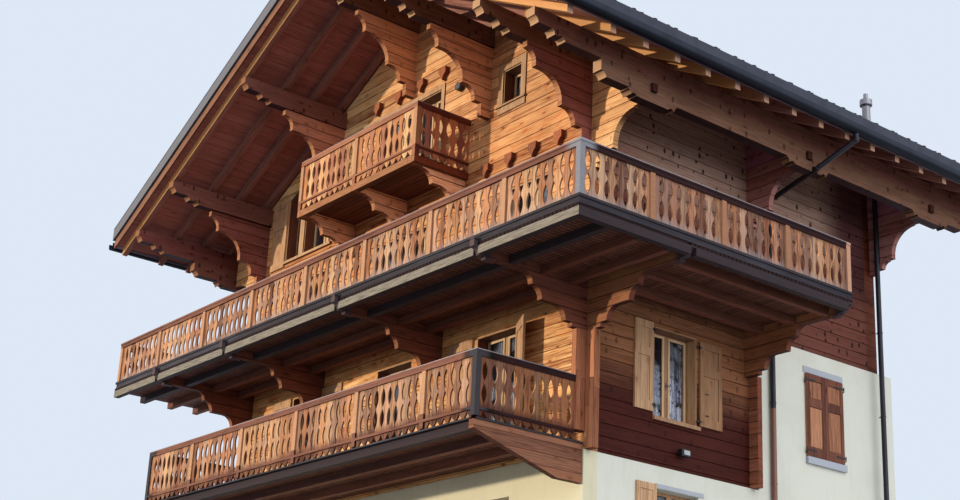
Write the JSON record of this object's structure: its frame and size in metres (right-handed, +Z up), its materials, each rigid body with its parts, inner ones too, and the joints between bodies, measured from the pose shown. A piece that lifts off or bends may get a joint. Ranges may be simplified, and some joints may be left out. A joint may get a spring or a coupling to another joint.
{
  "type": "alpine chalet",
  "caption": "Timber chalet on a rendered base, with a wide gable roof on carved brackets and balconies with sawn board railings.",
  "frame": {"origin": "centre of the footprint's bounding box, on the ground", "axes": "+Z up, -Y out of the gable front, +X towards the long side wall with the side balcony"},
  "size_m": [15.85, 13.25, 13.5108],
  "materials": {
    "dark_timber": "dark weathered wood",
    "floor": "plain boards",
    "flue_metal": "dull steel",
    "glass": "clear window glass",
    "grey_timber": "grey weathered wood",
    "lintel": "smooth pale stone",
    "masonry": "rough painted render",
    "metal": "matt dark metal",
    "roofing": "matt dark sheet",
    "timber": "weathered larch logs"
  },
  "bodies": {
    "root": {"base_walls_front": "masonry", "base_walls_sides": "masonry", "base_wall_rear": "masonry", "storey_floors": "floor", "middle_wall_front": "timber", "middle_walls_sides": "timber", "gable_wall_front": "timber", "upper_walls_sides": "timber", "gable_wall_rear": "timber", "corner_log_ends": "timber", "gable_brackets": "timber", "side_brackets": "timber", "roof_purlins": "timber", "eave_timbers": "timber", "rafters_right": "timber", "rafters_left": "timber", "roof_boarding_right": "dark_timber", "roof_boarding_left": "dark_timber", "roof_covering_right": "roofing", "roof_covering_left": "roofing", "verge_boards": "timber", "gutters": "metal", "downpipes": "metal", "flue": "flue_metal", "main_balcony_brackets": "dark_timber", "main_balcony_beams": "grey_timber", "main_balcony_deck": "dark_timber", "main_balcony_edge": "grey_timber", "main_balcony_railing": "grey_timber", "main_balcony_boards": "timber", "lower_balcony_beams": "grey_timber", "lower_balcony_deck": "dark_timber", "lower_balcony_cheeks": "timber", "lower_balcony_railing": "grey_timber", "lower_balcony_boards": "timber", "upper_balcony_brackets": "timber", "upper_balcony_deck": "timber", "upper_balcony_railing": "timber", "upper_balcony_boards": "timber", "window_frames": "timber", "window_glass": "glass", "window_shutters": "timber", "window_lintels": "lintel", "joist_heads": "timber", "wall_lamps": "metal"}
  },
  "joints": []
}
